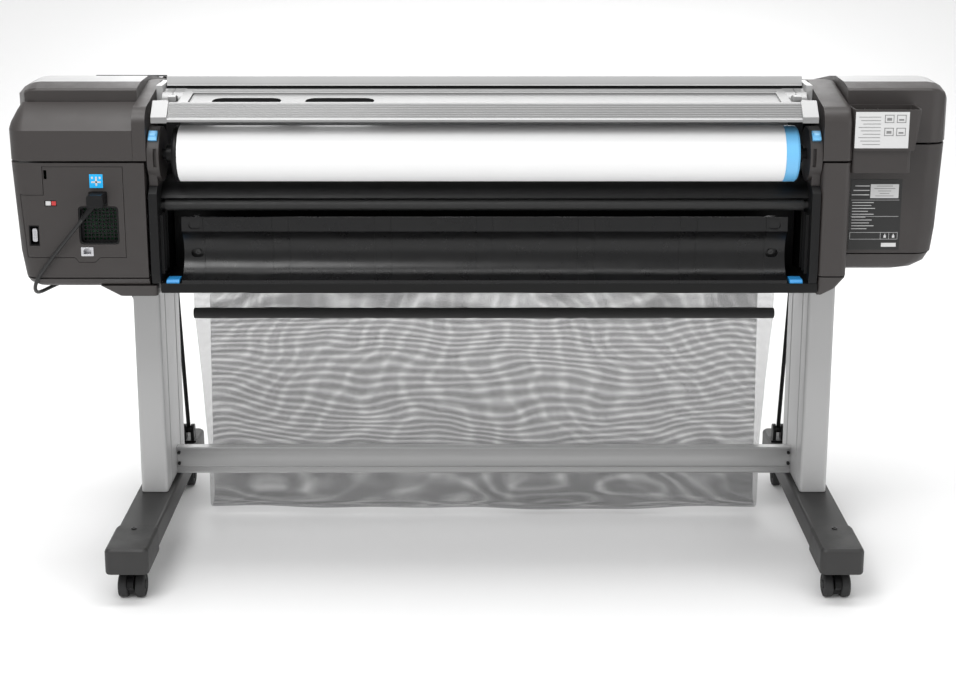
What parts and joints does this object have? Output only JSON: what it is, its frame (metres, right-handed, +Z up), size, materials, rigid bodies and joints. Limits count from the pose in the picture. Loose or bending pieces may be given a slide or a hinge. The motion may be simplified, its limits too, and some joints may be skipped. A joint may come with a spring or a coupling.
{
  "type": "large format plotter",
  "caption": "Floor-standing roll plotter with a rear paper roll under a hinged cover, two side housings, a braced stand, a mesh output basket and swivel casters.",
  "frame": {"origin": "on the floor, under the middle of the machine's footprint", "axes": "+X along the machine's width towards the operator's right, +Y to the rear where the roll is, +Z up"},
  "size_m": [1.803, 0.7905, 0.998],
  "materials": {
    "housing": "fine mould grain",
    "cover": "fine mould grain",
    "stand_grey": "satin powder coat",
    "foot_dark": "satin powder coat",
    "cap_plastic": "matt",
    "steel": "brushed",
    "black_plastic": "matt",
    "wheel_rubber": "matt",
    "mesh_fabric": "open mesh cloth",
    "black_metal": "satin black",
    "blue_plastic": "semi-gloss",
    "card": "brown cardboard",
    "paper": "matt white",
    "top_grey": "fine mould grain",
    "smoky": "smoky clear",
    "board": "satin",
    "button": "gloss",
    "cord": "matt"
  },
  "bodies": {
    "frame": {"foot_beams": "foot_dark", "foot_end_caps": "cap_plastic", "fasteners": "steel", "posts": "stand_grey", "cross_brace": "stand_grey", "basket_fabric": "mesh_fabric", "basket_rear_rod": "black_metal", "basket_holders": "black_plastic", "base_tray": "black_metal", "chassis_beam": "steel", "rear_panel": "black_plastic", "release_tabs": "blue_plastic", "side_walls": "black_plastic", "loading_guide": "black_plastic", "spindle_cradles": "black_plastic", "top_bridge": "top_grey", "front_fascia": "cover", "output_apron": "black_plastic", "platen": "black_plastic", "carriage_rail": "steel", "carriage_drive": "wheel_rubber", "right_body": "housing", "right_covers": "cover", "io_panel": "housing", "io_ports": "black_plastic", "electronics": "board", "left_body": "housing", "left_covers": "cover", "guide_pocket": "housing", "labels": "paper", "ink_cartridges": "black_plastic", "cord_tube": "cord", "cord_coil": "cord", "cord_ends": "black_plastic"},
    "swivel_rear_right": {"caster_fork_rear_right": "black_plastic"},
    "wheels_rear_right": {"caster_wheels_rear_right": "wheel_rubber"},
    "swivel_rear_left": {"caster_fork_rear_left": "black_plastic"},
    "wheels_rear_left": {"caster_wheels_rear_left": "wheel_rubber"},
    "swivel_front_right": {"caster_fork_front_right": "black_plastic"},
    "wheels_front_right": {"caster_wheels_front_right": "wheel_rubber"},
    "swivel_front_left": {"caster_fork_front_left": "black_plastic"},
    "wheels_front_left": {"caster_wheels_front_left": "wheel_rubber"},
    "basket_frame": {"basket_front_frame": "black_metal"},
    "roll_cover": {"roll_cover": "top_grey", "roll_cover_rail": "top_grey"},
    "front_window": {"front_window": "smoky"},
    "spindle": {"spindle": "black_plastic", "roll_core": "card", "paper_roll": "paper", "blue_stop": "blue_plastic", "black_stop": "black_plastic"},
    "latch_right": {"latch_lever_right": "blue_plastic"},
    "latch_left": {"latch_lever_left": "blue_plastic"},
    "entry_roller": {"entry_roller": "wheel_rubber"},
    "feed_roller": {"feed_roller": "steel"},
    "pinch_rollers": {"pinch_rollers": "wheel_rubber"},
    "carriage": {"carriage": "black_plastic"},
    "control_panel": {"control_panel": "black_plastic"},
    "ink_door": {"ink_door": "cover"},
    "power_button": {"power_button": "button"}
  },
  "joints": [
    {"name": "swivel_rear_right", "type": "hinge", "parent": "frame", "child": "swivel_rear_right", "pos_m": [0.6705, 0.2785, 0.08], "axis": [0, 0, 1], "continuous": true},
    {"name": "wheel_spin_rear_right", "type": "hinge", "parent": "swivel_rear_right", "child": "wheels_rear_right", "pos_m": [0.6705, 0.2935, 0.024], "axis": [1, 0, 0], "continuous": true},
    {"name": "swivel_rear_left", "type": "hinge", "parent": "frame", "child": "swivel_rear_left", "pos_m": [-0.6975, 0.2785, 0.08], "axis": [0, 0, 1], "continuous": true},
    {"name": "wheel_spin_rear_left", "type": "hinge", "parent": "swivel_rear_left", "child": "wheels_rear_left", "pos_m": [-0.6975, 0.2935, 0.024], "axis": [1, 0, 0], "continuous": true},
    {"name": "swivel_front_right", "type": "hinge", "parent": "frame", "child": "swivel_front_right", "pos_m": [0.6705, -0.2785, 0.08], "axis": [0, 0, 1], "continuous": true},
    {"name": "wheel_spin_front_right", "type": "hinge", "parent": "swivel_front_right", "child": "wheels_front_right", "pos_m": [0.6705, -0.2935, 0.024], "axis": [1, 0, 0], "continuous": true},
    {"name": "swivel_front_left", "type": "hinge", "parent": "frame", "child": "swivel_front_left", "pos_m": [-0.6975, -0.2785, 0.08], "axis": [0, 0, 1], "continuous": true},
    {"name": "wheel_spin_front_left", "type": "hinge", "parent": "swivel_front_left", "child": "wheels_front_left", "pos_m": [-0.6975, -0.2935, 0.024], "axis": [1, 0, 0], "continuous": true},
    {"name": "basket_frame_tilt", "type": "hinge", "parent": "frame", "child": "basket_frame", "pos_m": [-0.0135, -0.262, 0.144], "axis": [1, 0, 0], "range_deg": [0, 25]},
    {"name": "roll_cover_hinge", "type": "hinge", "parent": "frame", "child": "roll_cover", "pos_m": [-0.0135, 0.15, 0.966], "axis": [1, 0, 0], "range_deg": [0, 70]},
    {"name": "front_window_hinge", "type": "hinge", "parent": "frame", "child": "front_window", "pos_m": [-0.0135, 0.084, 0.974], "axis": [-1, 0, 0], "range_deg": [0, 70]},
    {"name": "spindle_spin", "type": "hinge", "parent": "frame", "child": "spindle", "pos_m": [-0.0135, 0.248, 0.867], "axis": [1, 0, 0], "continuous": true},
    {"name": "latch_right_turn", "type": "hinge", "parent": "frame", "child": "latch_right", "pos_m": [0.5945, 0.248, 0.867], "axis": [1, 0, 0], "range_deg": [0, 40]},
    {"name": "latch_left_turn", "type": "hinge", "parent": "frame", "child": "latch_left", "pos_m": [-0.6215, 0.248, 0.867], "axis": [1, 0, 0], "range_deg": [0, 40]},
    {"name": "entry_roller_spin", "type": "hinge", "parent": "frame", "child": "entry_roller", "pos_m": [-0.0135, 0.256, 0.7705], "axis": [1, 0, 0], "continuous": true},
    {"name": "feed_roller_spin", "type": "hinge", "parent": "frame", "child": "feed_roller", "pos_m": [-0.0135, -0.02, 0.786], "axis": [1, 0, 0], "continuous": true},
    {"name": "pinch_rollers_spin", "type": "hinge", "parent": "frame", "child": "pinch_rollers", "pos_m": [-0.0135, -0.02, 0.8044], "axis": [1, 0, 0], "continuous": true},
    {"name": "carriage_slide", "type": "slide", "parent": "frame", "child": "carriage", "axis": [-1, 0, 0], "range_m": [0, 1]},
    {"name": "control_panel_tilt", "type": "hinge", "parent": "frame", "child": "control_panel", "pos_m": [0.7365, -0.262, 0.932], "axis": [-1, 0, 0], "range_deg": [0, 50]},
    {"name": "ink_door_hinge", "type": "hinge", "parent": "frame", "child": "ink_door", "pos_m": [-0.7425, -0.302, 0.731], "axis": [1, 0, 0], "range_deg": [0, 90]},
    {"name": "power_button_press", "type": "slide", "parent": "frame", "child": "power_button", "axis": [0, 1, 0], "range_m": [0, 0.002], "stiffness_N_per_m": 600}
  ],
  "couplings": [
    {"joint": "pinch_rollers_spin", "follows": "feed_roller_spin", "ratio": -2}
  ]
}
